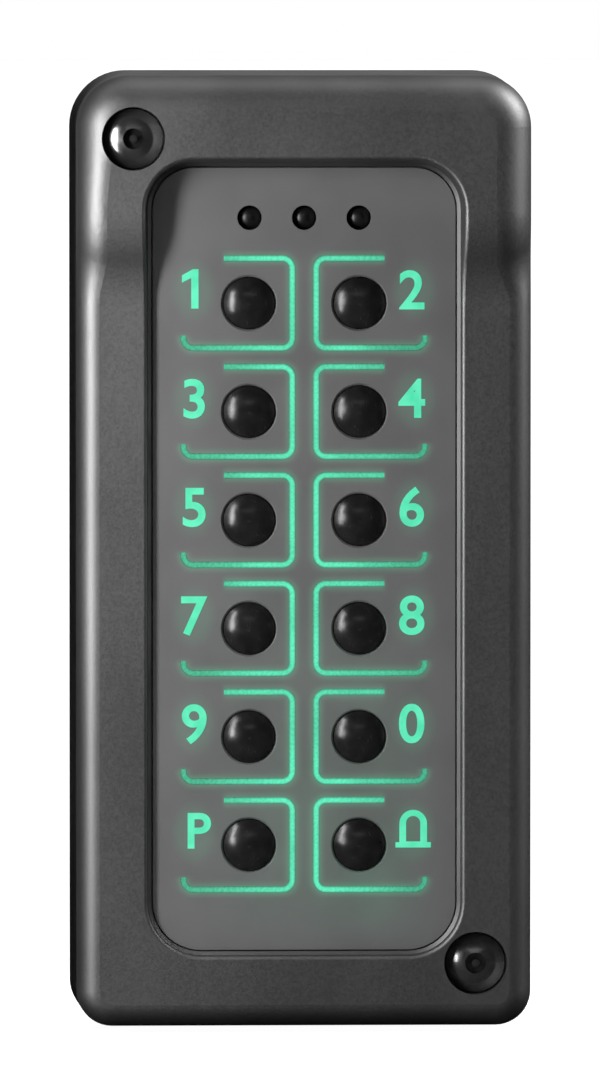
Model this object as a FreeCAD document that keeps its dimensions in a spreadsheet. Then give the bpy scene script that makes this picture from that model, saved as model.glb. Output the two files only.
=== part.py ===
import FreeCAD, Part

# Keypad access reader for a wall: a die-cast housing with a raised brow and a recessed legend
# plate, twelve sprung keys in two columns, three status lamps and the electronics behind them.
#
# Frame: X to the right, Z up, the front faces -Y. The wall is the plane Y = 0 and the origin is
# the middle of the back. "Depth" always means the distance of a point in front of the wall.
import math
import os

import Sketcher
from FreeCAD import Vector

COLUMN_SIDES = (-1, 1)
KEY_SIGNS = ["1", "2", "3", "4", "5", "6", "7", "8", "9", "0", "p", "bell"]
ROWS = len(KEY_SIGNS) // len(COLUMN_SIDES)
BOARD_SCREWS = [(side, level) for side in (-1, 1) for level in (-1, 1)]
TERMINALS = 8
LAMPS = 3
CHIP_LEADS = 7

SIZES = [
    # housing
    ("case_width", 60.0), ("case_height", 124.4), ("case_depth", 24.0), ("brow_depth", 27.0),
    ("blank_depth", 28.5), ("case_draft", 1.5), ("top_corner", 7.3), ("bottom_corner", 5.1),
    ("low_edge_round", 2.9), ("brow_edge_round", 4.7), ("ramp_foot", 32.0), ("ramp_head", 44.0),
    ("ramp_radius", 12.75), ("back_chamfer", 0.5),
    ("rim_wall", 2.2), ("ledge", 1.0), ("rim_depth", 3.2), ("inside_depth", 21.4),
    ("cavity_draft", 1.0), ("root_overlap", 0.5), ("seal_gap", 0.1),
    # window and recess round the legend plate
    ("window_half", 19.8), ("window_top", 49.85), ("window_foot", 51.9),
    ("window_top_round", 5.6), ("window_foot_round", 6.4), ("plate_front", 22.4),
    ("sill_width", 0.45), ("sill_front", 22.8), ("mouth_flare", 1.0), ("mouth_depth", 28.0),
    ("mouth_lip", 0.5),
    # cover screws and press nuts
    ("screw_x", 22.2), ("screw_z", 53.45), ("screw_hole", 2.2), ("counterbore", 4.1),
    ("seat_high", 24.2), ("seat_low", 21.3), ("boss_round", 3.9), ("boss_foot", 6.0),
    ("boss_reach", 5.35), ("boss_height", 6.25), ("head_radius", 3.8), ("head_height", 2.2),
    ("head_rim", 0.9),
    ("shank_radius", 2.0), ("shank_length", 20.5), ("socket_radius", 1.35), ("socket_depth", 1.3),
    ("pin_radius", 0.5), ("nut_radius", 4.0), ("nut_spigot", 3.15), ("nut_bore", 2.05),
    # back plate
    ("back_thickness", 2.0), ("plate_gap", 0.3), ("wall_hole", 2.25), ("wall_hole_z", 41.65),
    ("cable_z", -8.0), ("cable_hole", 6.0), ("grommet_bore", 3.0), ("grommet_flange", 8.0),
    ("grommet_inner", 3.6), ("grommet_lip", 1.2), ("grommet_nose", 1.4), ("back_relief", 0.2),
    # legend plate and what lies behind it
    ("fit_gap", 0.2), ("flange_width", 1.2), ("flange_front", 20.8), ("plate_back", 19.2),
    ("guide_back", 18.4), ("frame_back", 15.0), ("board_front", 14.2), ("board_back", 12.6),
    ("frame_half", 20.9), ("frame_top", 48.2), ("frame_round", 4.0),
    ("board_half", 26.2), ("board_top", 48.5), ("board_round", 2.0),
    # keys
    ("column", 7.15), ("row_first", 32.15), ("row_pitch", 14.05), ("key_hole", 3.42),
    ("hole_chamfer", 0.25), ("key_radius", 3.3), ("key_crown", 23.6), ("key_shoulder", 22.45),
    ("key_flange", 4.2), ("key_flange_front", 19.15),
    ("key_flange_back", 18.15), ("key_foot_radius", 2.0), ("key_foot", 17.25),
    ("key_well", 4.7), ("dome_foot", 4.3), ("dome_top_radius", 2.6), ("dome_top", 17.2),
    ("dome_wall", 0.5), ("pill_radius", 1.5), ("pill_front", 15.65), ("pill_back", 15.25),
    # lit lines round the keys
    ("line_half", 0.37), ("slot_half", 0.4), ("line_round", 1.3), ("line_rise", 5.8),
    ("line_inner", 1.55), ("line_outer", 15.65), ("line_open", 10.4), ("line_stub", 4.2),
    # lamps
    ("status_z", 43.2), ("status_pitch", 7.07), ("status_hole", 1.6), ("status_well", 2.2),
    ("status_radius", 1.5), ("status_rim", 1.85), ("status_tip", 22.1), ("status_base", 16.8),
    ("status_flange", 0.8), ("status_dome", 1.0), ("leg_spread", 1.27), ("leg_radius", 0.25),
    ("glow_x", 14.65), ("glow_rise", 1.7), ("glow_well", 2.6), ("glow_width", 2.0),
    ("glow_height", 1.3), ("glow_front", 14.95),
    # board posts and screws
    ("post_x", 24.3), ("post_z", 36.0), ("post_radius", 2.5), ("post_bore", 1.3),
    ("post_bore_front", 19.0), ("board_hole", 1.4), ("small_head", 2.2), ("small_head_back", 11.2),
    ("small_shank", 1.25), ("small_tip", 18.4),
    # parts on the back of the board
    ("terminal_pitch", 3.5), ("terminal_z", -27.0), ("terminal_back", 4.2),
    ("terminal_height", 8.0), ("terminal_well", 1.3), ("terminal_screw", 1.2),
    ("terminal_well_front", 7.4), ("terminal_screw_back", 5.6), ("terminal_corner", 0.4),
    ("terminal_drop", 1.0), ("entry_half", 1.2), ("entry_front", 11.6), ("entry_back", 8.6),
    ("entry_length", 5.0), ("screw_slot", 0.4), ("screw_slot_depth", 0.6), ("relay_x", -15.0),
    ("relay_z", 14.0), ("relay_width", 10.0), ("relay_height", 15.5), ("relay_back", 3.6),
    ("buzzer_x", 14.0), ("buzzer_z", 15.0), ("buzzer_radius", 6.0), ("buzzer_back", 6.1),
    ("buzzer_port", 1.0), ("port_depth", 1.5), ("chip_z", 32.0), ("chip_half", 5.0),
    ("chip_back", 11.1), ("lead_pitch", 1.0), ("lead_width", 0.4), ("lead_reach", 1.0),
    ("lead_thickness", 0.3), ("block_corner", 0.5), ("block_bevel", 0.4), ("coil_corner", 1.5),
    ("can_x", 16.0), ("can_z", -9.0), ("can_radius", 3.15), ("can_back", 4.9), ("can_base", 3.3),
    ("can_foot", 0.8), ("crimp_bite", 0.35), ("crimp_back", 10.2), ("crimp_front", 11.2),
    ("crimp_slope", 0.3), ("coil_x", -16.0), ("coil_z", -9.0), ("coil_half", 4.0),
    ("coil_back", 8.2), ("eye_x", 0.0), ("eye_z", 17.0), ("eye_radius", 2.5), ("eye_front", 11.4),
    ("eye_back", 9.8),
]

doc = FreeCAD.newDocument("keypad_access_reader")
sheet = doc.addObject("Spreadsheet::Sheet", "Sizes")
for number, (alias, amount) in enumerate(SIZES, start=1):
    sheet.set(f"A{number}", alias)
    sheet.set(f"B{number}", str(amount))
    sheet.setAlias(f"B{number}", alias)
doc.recompute()

sub_parts = []


def value(expression):
    """The number that an expression of the size sheet gives."""
    return float(sheet.evalExpression(expression))


def new_body(name):
    body = doc.addObject("PartDesign::Body", name)
    body.Label = name
    sub_parts.append(body)
    return body


def place(body, along_x, along_z):
    body.setExpression(".Placement.Base.x", along_x)
    body.setExpression(".Placement.Base.z", along_z)


def new_sketch(body, name, depth="0", role="XZ_Plane"):
    """A sketch on one of the body's own planes, held at a depth in front of the wall."""
    sketch = body.newObject("Sketcher::SketchObject", name)
    plane = next(feature for feature in body.Origin.OriginFeatures if feature.Role == role)
    sketch.AttachmentSupport = [(plane, "")]
    sketch.MapMode = "FlatFace"
    sketch.setExpression("AttachmentOffset.Base.z", depth)
    return sketch


def bind(sketch, constraint, expression):
    index = sketch.addConstraint(constraint)
    sketch.setExpression(f"Constraints[{index}]", expression)


def pin(sketch, piece, point, across, up):
    """Hold a point of a sketch piece at two sizes from the sketch's origin."""
    bind(sketch, Sketcher.Constraint("DistanceX", -1, 1, piece, point, value(across)), across)
    bind(sketch, Sketcher.Constraint("DistanceY", -1, 1, piece, point, value(up)), up)


def circle(sketch, across, up, radius):
    centre = Vector(value(across), value(up), 0)
    piece = sketch.addGeometry(Part.Circle(centre, Vector(0, 0, 1), value(radius)))
    pin(sketch, piece, 3, across, up)
    bind(sketch, Sketcher.Constraint("Radius", piece, value(radius)), radius)


def square_outline(sketch, corners):
    """A closed outline of level and upright lines. Each corner is (across, up, round or None)."""
    points = [Vector(value(across), value(up), 0) for across, up, _ in corners]
    rounds = [value(corner[2]) if corner[2] else 0.0 for corner in corners]
    count = len(corners)
    steps = [(points[(i + 1) % count] - points[i]).normalize() for i in range(count)]
    lines = []
    for i, (across, up, _) in enumerate(corners):
        start = points[i] + steps[i] * rounds[i]
        end = points[(i + 1) % count] - steps[i] * rounds[(i + 1) % count]
        line = sketch.addGeometry(Part.LineSegment(start, end))
        lines.append(line)
        if abs(steps[i].x) > abs(steps[i].y):
            sketch.addConstraint(Sketcher.Constraint("Horizontal", line))
            bind(sketch, Sketcher.Constraint("DistanceY", -1, 1, line, 1, points[i].y), up)
        else:
            sketch.addConstraint(Sketcher.Constraint("Vertical", line))
            bind(sketch, Sketcher.Constraint("DistanceX", -1, 1, line, 1, points[i].x), across)
    for i, corner in enumerate(corners):
        before, after = lines[i - 1], lines[i]
        if not rounds[i]:
            sketch.addConstraint(Sketcher.Constraint("Coincident", before, 2, after, 1))
            continue
        round_corner(sketch, points[i], steps[i - 1], steps[i], before, after, corner[2])


def round_corner(sketch, point, step_in, step_out, before, after, radius):
    """The arc that joins line before to line after round their corner point."""
    size = value(radius)
    centre = point + (step_out - step_in) * size
    touch_in = point - step_in * size - centre
    touch_out = point + step_out * size - centre
    left_turn = step_in.cross(step_out).z > 0
    start, end = (touch_in, touch_out) if left_turn else (touch_out, touch_in)
    first_angle = math.atan2(start.y, start.x)
    sweep = (math.atan2(end.y, end.x) - first_angle) % (2 * math.pi)
    bow = Part.ArcOfCircle(Part.Circle(centre, Vector(0, 0, 1), size),
                           first_angle, first_angle + sweep)
    arc = sketch.addGeometry(bow)
    arc_in, arc_out = (1, 2) if left_turn else (2, 1)
    sketch.addConstraint(Sketcher.Constraint("Tangent", before, 2, arc, arc_in))
    sketch.addConstraint(Sketcher.Constraint("Tangent", arc, arc_out, after, 1))
    bind(sketch, Sketcher.Constraint("Radius", arc, size), radius)


def box_outline(sketch, left, right, foot, top, foot_round=None, top_round=None):
    square_outline(sketch, [(left, foot, foot_round), (right, foot, foot_round),
                            (right, top, top_round), (left, top, top_round)])


def centred_outline(sketch, half, foot, top, foot_round=None, top_round=None):
    box_outline(sketch, f"-({half})", half, f"-({foot})", top, foot_round, top_round)


def add_slab(body, name, sketch, thickness, taper="0"):
    """Material from the sketch forwards, away from the wall."""
    pad = body.newObject("PartDesign::Pad", name)
    pad.Profile = sketch
    pad.setExpression("Length", thickness)
    pad.setExpression("TaperAngle", taper)
    doc.recompute()
    return pad


def cut_slab(body, name, sketch, thickness, taper="0"):
    """A pocket from the sketch forwards. It must take material away."""
    before = body.Shape.Volume
    pocket = body.newObject("PartDesign::Pocket", name)
    pocket.Profile = sketch
    pocket.Reversed = True
    pocket.setExpression("Length", thickness)
    pocket.setExpression("TaperAngle", taper)
    doc.recompute()
    if pocket.Shape.Volume >= before:
        raise ValueError(f"{body.Label}: {name} cuts nothing")
    return pocket


def repeat_rows(body, name, feature, sketch, across=None):
    """Repeat a feature down the rows, and over the two columns if their distance is given."""
    pattern = body.newObject("PartDesign::LinearPattern", name)
    pattern.Originals = [feature]
    pattern.Direction = (sketch, ["V_Axis"])
    pattern.Reversed = True
    pattern.setExpression("Length", f"Sizes.row_pitch * {ROWS - 1}")
    pattern.Occurrences = ROWS
    if across:
        pattern.Direction2 = (sketch, ["H_Axis"])
        pattern.setExpression("Length2", across)
        pattern.Occurrences2 = 2
    body.Tip = pattern
    doc.recompute()
    return pattern


def turned_profile(sketch, stations, crown=None):
    """A half profile about the sketch's upright axis, from (radius, depth) stations.

    Depth runs downwards in the sketch. With crown given, the last two stations are joined by an
    arc whose centre is on the axis.
    """
    points = [Vector(value(radius), -value(depth), 0) for radius, depth in stations]
    count = len(points)
    pieces = []
    for i, (radius, depth) in enumerate(stations):
        start, end = points[i], points[(i + 1) % count]
        if crown and i == count - 2:
            pieces.append(add_crown(sketch, start, end))
            continue
        line = sketch.addGeometry(Part.LineSegment(start, end))
        pin(sketch, line, 1, radius, f"-({depth})")
        pieces.append(line)
    for i in range(count):
        before_end = 1 if crown and i == count - 1 else 2
        after_start = 2 if crown and i == count - 2 else 1
        joint = Sketcher.Constraint("Coincident", pieces[i - 1], before_end, pieces[i], after_start)
        sketch.addConstraint(joint)


def add_crown(sketch, shoulder, tip):
    rise = shoulder.y - tip.y
    radius = (shoulder.x ** 2 + rise ** 2) / (2 * rise)
    centre = Vector(0, tip.y + radius, 0)
    half_angle = math.asin(shoulder.x / radius)
    bow = Part.ArcOfCircle(Part.Circle(centre, Vector(0, 0, 1), radius),
                           -math.pi / 2, -math.pi / 2 + half_angle)
    arc = sketch.addGeometry(bow)
    sketch.addConstraint(Sketcher.Constraint("PointOnObject", arc, 3, -2))
    return arc


def turn(body, name, stations, crown=None):
    """A turned piece whose axis runs through the body's origin, along the depth."""
    sketch = new_sketch(body, f"{name}_profile", role="XY_Plane")
    turned_profile(sketch, stations, crown)
    revolution = body.newObject("PartDesign::Revolution", name)
    revolution.Profile = sketch
    revolution.ReferenceAxis = (sketch, ["V_Axis"])
    revolution.Angle = 360
    doc.recompute()
    return revolution


def round_edges(body, name, feature, size, wanted, kind="PartDesign::Fillet"):
    """Round or bevel those edges of a feature for which wanted(edge) holds."""
    chosen = [f"Edge{i}" for i, edge in enumerate(feature.Shape.Edges, start=1) if wanted(edge)]
    dress = body.newObject(kind, name)
    dress.Base = (feature, chosen)
    dress.setExpression("Radius" if kind == "PartDesign::Fillet" else "Size", size)
    doc.recompute()
    return dress


def at_depth(edge, depth):
    box = edge.BoundBox
    return abs(box.YMin + value(depth)) < 0.01 and abs(box.YMax + value(depth)) < 0.01


def group(name, pieces):
    """Like pieces that share one node, as separate solids."""
    compound = doc.addObject("Part::Compound", name)
    compound.Label = name
    compound.Links = pieces
    for piece in pieces:
        if piece in sub_parts:
            sub_parts.remove(piece)
    sub_parts.append(compound)
    return compound


def case_outline(sketch, inset):
    half_width = f"Sizes.case_width / 2 - ({inset})"
    half_height = f"Sizes.case_height / 2 - ({inset})"
    centred_outline(sketch, half_width, half_height, half_height,
                    f"Sizes.bottom_corner - ({inset})", f"Sizes.top_corner - ({inset})")


def window_outline(sketch, inset):
    """The outline of the legend plate's window, made smaller by inset all round."""
    centred_outline(sketch, f"Sizes.window_half - ({inset})", f"Sizes.window_foot - ({inset})",
                    f"Sizes.window_top - ({inset})", f"Sizes.window_foot_round - ({inset})",
                    f"Sizes.window_top_round - ({inset})")


# --- Front housing ---------------------------------------------------------------------------


def front_form(sketch):
    """What lies in front of the housing: its flat face, the S-shaped ramp and the brow."""
    face, brow = -value("Sizes.case_depth"), -value("Sizes.brow_depth")
    foot, head = value("Sizes.ramp_foot"), value("Sizes.ramp_head")
    radius = value("Sizes.ramp_radius")
    beyond, high = -value("Sizes.blank_depth + 2"), value("Sizes.case_height / 2 + 2")
    half_angle = math.asin((head - foot) / 2 / radius)
    lower_centre = Vector(face - radius, foot, 0)
    upper_centre = Vector(brow + radius, head, 0)
    up = Vector(0, 0, 1)
    lower = Part.ArcOfCircle(Part.Circle(lower_centre, up, radius), 0, half_angle)
    upper = Part.ArcOfCircle(Part.Circle(upper_centre, up, radius), math.pi, math.pi + half_angle)
    flat = Part.LineSegment(Vector(face, -high, 0), Vector(face, foot, 0))
    brow_line = Part.LineSegment(Vector(brow, head, 0), Vector(brow, high, 0))
    top = Part.LineSegment(Vector(brow, high, 0), Vector(beyond, high, 0))
    front = Part.LineSegment(Vector(beyond, high, 0), Vector(beyond, -high, 0))
    foot_line = Part.LineSegment(Vector(beyond, -high, 0), Vector(face, -high, 0))
    flat, lower, upper, brow_line, top, front, foot_line = sketch.addGeometry(
        [flat, lower, upper, brow_line, top, front, foot_line])
    add = sketch.addConstraint
    add(Sketcher.Constraint("Tangent", flat, 2, lower, 1))
    add(Sketcher.Constraint("Tangent", lower, 2, upper, 2))
    add(Sketcher.Constraint("Tangent", upper, 1, brow_line, 1))
    add(Sketcher.Constraint("Equal", lower, upper))
    for before, after in ((brow_line, top), (top, front), (front, foot_line), (foot_line, flat)):
        add(Sketcher.Constraint("Coincident", before, 2, after, 1))
    for level in (top, foot_line):
        add(Sketcher.Constraint("Horizontal", level))
    for upright in (flat, brow_line, front):
        add(Sketcher.Constraint("Vertical", upright))
    pin(sketch, flat, 2, "-Sizes.case_depth", "Sizes.ramp_foot")
    pin(sketch, brow_line, 1, "-Sizes.brow_depth", "Sizes.ramp_head")
    pin(sketch, front, 1, "-(Sizes.blank_depth + 2)", "Sizes.case_height / 2 + 2")
    bind(sketch, Sketcher.Constraint("DistanceY", -1, 1, foot_line, 1, -high),
         "-(Sizes.case_height / 2 + 2)")


def front_edge_round(height):
    """The radius of the front edge at a height: it grows along the ramp to the brow."""
    foot, head = value("Sizes.ramp_foot"), value("Sizes.ramp_head")
    share = min(1.0, max(0.0, (height - foot) / (head - foot)))
    low, high = value("Sizes.low_edge_round"), value("Sizes.brow_edge_round")
    return low + share * (high - low)


def rounded_blank():
    """The solid outer form: drafted sides, the ramp and brow, and the rounded front edge."""
    blank = doc.addObject("PartDesign::Body", "housing_blank")
    outline = new_sketch(blank, "case_outline")
    case_outline(outline, "0")
    add_slab(blank, "drafted_block", outline, "Sizes.blank_depth", "-Sizes.case_draft")
    form = new_sketch(blank, "front_form", role="YZ_Plane")
    front_form(form)
    trim = blank.newObject("PartDesign::Pocket", "front_trim")
    trim.Profile = form
    trim.Type = "ThroughAll"
    trim.Midplane = True
    doc.recompute()
    edges = []
    for i, edge in enumerate(trim.Shape.Edges, start=1):
        faces = trim.Shape.ancestorsOfType(edge, Part.Face)
        sides = [face for face in faces if face.BoundBox.YMax > -0.1]
        fronts = [face for face in faces if face.BoundBox.YMax < -value("Sizes.inside_depth")]
        if len(sides) == 1 and len(fronts) == 1:
            start = edge.valueAt(edge.FirstParameter)
            end = edge.valueAt(edge.LastParameter)
            edges.append((i, front_edge_round(start.z), front_edge_round(end.z)))
    rounded = doc.addObject("Part::Fillet", "housing_rounded")
    rounded.Base = blank
    rounded.Edges = edges
    doc.recompute()
    return rounded


def cover_screw_places():
    """The cover screws' sides and the depths of their seats, high left and low right."""
    return [(-1, "Sizes.seat_high"), (1, "Sizes.seat_low")]


def on_mouth_lip(edge):
    """Whether an edge runs along the recess's mouth, on the face, the ramp or the brow."""
    box = edge.BoundBox
    reach = value("Sizes.window_half + Sizes.mouth_flare")
    return box.YMax < 0.01 - value("Sizes.case_depth") and max(-box.XMin, box.XMax) < reach


def make_front_housing():
    rounded = rounded_blank()
    body = new_body("front_housing")
    body.BaseFeature = rounded
    doc.recompute()
    back_edges = [edge for edge in body.Tip.Shape.Edges if at_depth(edge, "0")]
    round_edges(body, "back_edge", body.Tip, "Sizes.back_chamfer",
                lambda edge: any(edge.isSame(other) for other in back_edges),
                "PartDesign::Chamfer")

    seat = new_sketch(body, "back_plate_seat")
    case_outline(seat, "Sizes.rim_wall")
    cut_slab(body, "rim_pocket", seat, "Sizes.rim_depth")
    cavity = new_sketch(body, "cavity_outline")
    case_outline(cavity, "Sizes.rim_wall + Sizes.ledge")
    cut_slab(body, "cavity", cavity, "Sizes.inside_depth", "-Sizes.cavity_draft")

    for side, _ in cover_screw_places():
        boss = new_sketch(body, "cover_boss", "Sizes.boss_foot")
        near_x = f"{side} * (Sizes.screw_x - Sizes.boss_round)"
        far_x = f"{side} * (Sizes.screw_x + Sizes.boss_reach)"
        near_z = f"{-side} * (Sizes.screw_z - Sizes.boss_round)"
        far_z = f"{-side} * (Sizes.screw_z + Sizes.boss_height)"
        left, right = (near_x, far_x) if side > 0 else (far_x, near_x)
        foot, top = (far_z, near_z) if side > 0 else (near_z, far_z)
        box_outline(boss, left, right, foot, top, "Sizes.boss_round", "Sizes.boss_round")
        add_slab(body, "cover_boss_pad", boss,
                 "Sizes.inside_depth + Sizes.root_overlap - Sizes.boss_foot")
    posts = new_sketch(body, "board_posts", "Sizes.board_front")
    for side, level in BOARD_SCREWS:
        circle(posts, f"{side} * Sizes.post_x", f"{level} * Sizes.post_z", "Sizes.post_radius")
    add_slab(body, "board_post_pads", posts,
             "Sizes.inside_depth + Sizes.root_overlap - Sizes.board_front")
    bores = new_sketch(body, "post_bores", "Sizes.board_front")
    for side, level in BOARD_SCREWS:
        circle(bores, f"{side} * Sizes.post_x", f"{level} * Sizes.post_z", "Sizes.post_bore")
    cut_slab(body, "post_bore_cuts", bores, "Sizes.post_bore_front - Sizes.board_front")

    window = new_sketch(body, "window_outline", "Sizes.board_front")
    window_outline(window, "0")
    cut_slab(body, "window", window, "Sizes.plate_front - Sizes.board_front")
    floor = new_sketch(body, "recess_floor", "Sizes.plate_front")
    window_outline(floor, "0")
    sill = new_sketch(body, "recess_sill", "Sizes.sill_front")
    window_outline(sill, "-Sizes.sill_width")
    mouth = new_sketch(body, "recess_mouth", "Sizes.mouth_depth")
    window_outline(mouth, "-Sizes.mouth_flare")
    recess = body.newObject("PartDesign::SubtractiveLoft", "recess")
    recess.Profile = floor
    recess.Sections = [sill, mouth]
    recess.Ruled = True
    doc.recompute()
    round_edges(body, "mouth_rounding", recess, "Sizes.mouth_lip", on_mouth_lip)

    for side, seat_depth in cover_screw_places():
        place_x, place_z = f"{side} * Sizes.screw_x", f"{-side} * Sizes.screw_z"
        hole = new_sketch(body, "screw_hole", "0")
        circle(hole, place_x, place_z, "Sizes.screw_hole")
        cut_slab(body, "screw_hole_cut", hole, "Sizes.mouth_depth")
        bore = new_sketch(body, "counterbore", seat_depth)
        circle(bore, place_x, place_z, "Sizes.counterbore")
        cut_slab(body, "counterbore_cut", bore, "Sizes.mouth_depth - Sizes.seat_low")
    return body


# --- Seals, back plate and its fittings --------------------------------------------------------


def make_ring(name, outline, outer, inner, back, front):
    """A flat ring between two depths, its edges inset from the same outline."""
    body = new_body(name)
    sketch = new_sketch(body, f"{name}_outline", back)
    outline(sketch, outer)
    outline(sketch, inner)
    add_slab(body, f"{name}_pad", sketch, f"{front} - ({back})")
    return body


def make_back_plate():
    body = new_body("back_plate")
    sketch = new_sketch(body, "plate_outline")
    case_outline(sketch, "Sizes.rim_wall + Sizes.plate_gap")
    for level in (-1, 1):
        circle(sketch, "0", f"{level} * Sizes.wall_hole_z", "Sizes.wall_hole")
    circle(sketch, "0", "Sizes.cable_z", "Sizes.cable_hole")
    for side, _ in cover_screw_places():
        circle(sketch, f"{side} * Sizes.screw_x", f"{-side} * Sizes.screw_z",
               "Sizes.nut_spigot")
    add_slab(body, "plate_pad", sketch, "Sizes.back_thickness")
    return body


def make_press_nuts():
    nuts = []
    for side, _ in cover_screw_places():
        body = new_body(f"press_nut_{len(nuts) + 1}")
        turn(body, "nut", [("Sizes.nut_bore", "Sizes.back_relief"),
                           ("Sizes.nut_spigot", "Sizes.back_relief"),
                           ("Sizes.nut_spigot", "Sizes.back_thickness"),
                           ("Sizes.nut_radius", "Sizes.back_thickness"),
                           ("Sizes.nut_radius", "Sizes.boss_foot"),
                           ("Sizes.nut_bore", "Sizes.boss_foot")])
        place(body, f"{side} * Sizes.screw_x", f"{-side} * Sizes.screw_z")
        nuts.append(body)
    group("press_nuts", nuts)


def make_cable_grommet():
    body = new_body("cable_grommet")
    lip = "Sizes.back_thickness + Sizes.grommet_lip"
    nose = f"{lip} + Sizes.grommet_nose"
    turn(body, "ring", [("Sizes.grommet_bore", "Sizes.back_relief"),
                        ("Sizes.cable_hole", "Sizes.back_relief"),
                        ("Sizes.cable_hole", "Sizes.back_thickness"),
                        ("Sizes.grommet_flange", "Sizes.back_thickness"),
                        ("Sizes.grommet_flange", lip),
                        ("Sizes.grommet_inner + Sizes.grommet_lip", lip),
                        ("Sizes.grommet_inner", nose), ("Sizes.grommet_bore", nose)])
    place(body, "0", "Sizes.cable_z")


def make_cover_screws():
    """Button heads with a round socket and a centre pin, each in its own counterbore."""
    for number, (side, seat) in enumerate(cover_screw_places(), start=1):
        body = new_body(f"cover_screw_{number}")
        floor = f"{seat} + Sizes.head_height - Sizes.socket_depth"
        turn(body, "screw", [("0", f"{seat} - Sizes.shank_length"),
                             ("Sizes.shank_radius", f"{seat} - Sizes.shank_length"),
                             ("Sizes.shank_radius", seat), ("Sizes.head_radius", seat),
                             ("Sizes.head_radius", f"{seat} + Sizes.head_rim"),
                             ("0", f"{seat} + Sizes.head_height")], crown=True)
        socket = new_sketch(body, "socket", floor)
        circle(socket, "0", "0", "Sizes.socket_radius")
        circle(socket, "0", "0", "Sizes.pin_radius")
        cut_slab(body, "socket_cut", socket, "Sizes.head_height")
        place(body, f"{side} * Sizes.screw_x", f"{-side} * Sizes.screw_z")


# --- Legend plate, light guide, light frame and mat ---------------------------------------------


def line_ribbon(sketch, side, half):
    """The C-shaped line round the first key of a column, open where the key's sign stands."""
    def across(size):
        return f"{side} * ({size})"

    rise, row = "Sizes.line_rise", "Sizes.row_first"
    inner, outer = "Sizes.line_inner", "Sizes.line_outer"
    wide, tight = f"Sizes.line_round + {half}", f"Sizes.line_round - {half}"
    corners = [
        (across("Sizes.line_open"), f"{row} + {rise} + {half}", None),
        (across(f"{inner} - {half}"), f"{row} + {rise} + {half}", wide),
        (across(f"{inner} - {half}"), f"{row} - {rise} - {half}", wide),
        (across(f"{outer} + {half}"), f"{row} - {rise} - {half}", wide),
        (across(f"{outer} + {half}"), f"{row} - Sizes.line_stub", None),
        (across(f"{outer} - {half}"), f"{row} - Sizes.line_stub", None),
        (across(f"{outer} - {half}"), f"{row} - {rise} + {half}", tight),
        (across(f"{inner} + {half}"), f"{row} - {rise} + {half}", tight),
        (across(f"{inner} + {half}"), f"{row} + {rise} - {half}", tight),
        (across("Sizes.line_open"), f"{row} + {rise} - {half}", None),
    ]
    square_outline(sketch, corners)


def cut_lamp_holes(body, back, thickness, radius):
    holes = new_sketch(body, "status_holes", back)
    for lamp in range(LAMPS):
        circle(holes, f"{lamp - 1} * Sizes.status_pitch", "Sizes.status_z", radius)
    cut_slab(body, "status_cuts", holes, thickness)


def cut_key_holes(body, back, thickness, radius):
    hole = new_sketch(body, "key_hole", back)
    circle(hole, "-Sizes.column", "Sizes.row_first", radius)
    cut = cut_slab(body, "key_hole_cut", hole, thickness)
    return repeat_rows(body, "key_hole_cuts", cut, hole, "2 * Sizes.column")


def make_legend_plate():
    body = new_body("legend_plate")
    flange = new_sketch(body, "flange_outline", "Sizes.plate_back")
    window_outline(flange, "-Sizes.flange_width")
    add_slab(body, "flange", flange, "Sizes.flange_front - Sizes.plate_back")
    nose = new_sketch(body, "nose_outline", "Sizes.plate_back")
    window_outline(nose, "Sizes.fit_gap")
    add_slab(body, "nose", nose, "Sizes.plate_front - Sizes.plate_back")
    thickness = "Sizes.plate_front - Sizes.plate_back"
    cut_lamp_holes(body, "Sizes.plate_back", thickness, "Sizes.status_hole")
    for side in COLUMN_SIDES:
        line = new_sketch(body, "line_slot", "Sizes.plate_back")
        line_ribbon(line, side, "Sizes.slot_half")
        slot = cut_slab(body, "line_slot_cut", line, thickness)
        repeat_rows(body, "line_slots", slot, line)
    holes = cut_key_holes(body, "Sizes.plate_back", thickness, "Sizes.key_hole")
    round_edges(body, "key_hole_bevels", holes, "Sizes.hole_chamfer",
                lambda edge: at_depth(edge, "Sizes.plate_front")
                and isinstance(edge.Curve, Part.Circle)
                and abs(edge.Curve.Radius - value("Sizes.key_hole")) < 0.01,
                "PartDesign::Chamfer")
    return body


def make_light_guide():
    """A clear sheet behind the legend plate. Its ribs fill the plate's slots, flush in front."""
    body = new_body("light_guide")
    sheet_outline = new_sketch(body, "sheet_outline", "Sizes.guide_back")
    window_outline(sheet_outline, "-Sizes.flange_width")
    add_slab(body, "guide_sheet", sheet_outline, "Sizes.plate_back - Sizes.guide_back")
    for side in COLUMN_SIDES:
        line = new_sketch(body, "line_rib", "Sizes.guide_back")
        line_ribbon(line, side, "Sizes.line_half")
        rib = add_slab(body, "line_rib_pad", line, "Sizes.plate_front - Sizes.guide_back")
        repeat_rows(body, "line_ribs", rib, line)
    thickness = "Sizes.plate_back - Sizes.guide_back"
    cut_lamp_holes(body, "Sizes.guide_back", thickness, "Sizes.status_well")
    cut_key_holes(body, "Sizes.guide_back", thickness, "Sizes.key_well")
    return body


def cut_glow_holes(body, back, thickness, radius):
    hole = new_sketch(body, "glow_hole", back)
    circle(hole, "-Sizes.glow_x", "Sizes.row_first + Sizes.glow_rise", radius)
    cut = cut_slab(body, "glow_hole_cut", hole, thickness)
    repeat_rows(body, "glow_hole_cuts", cut, hole, "2 * Sizes.glow_x")


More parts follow.
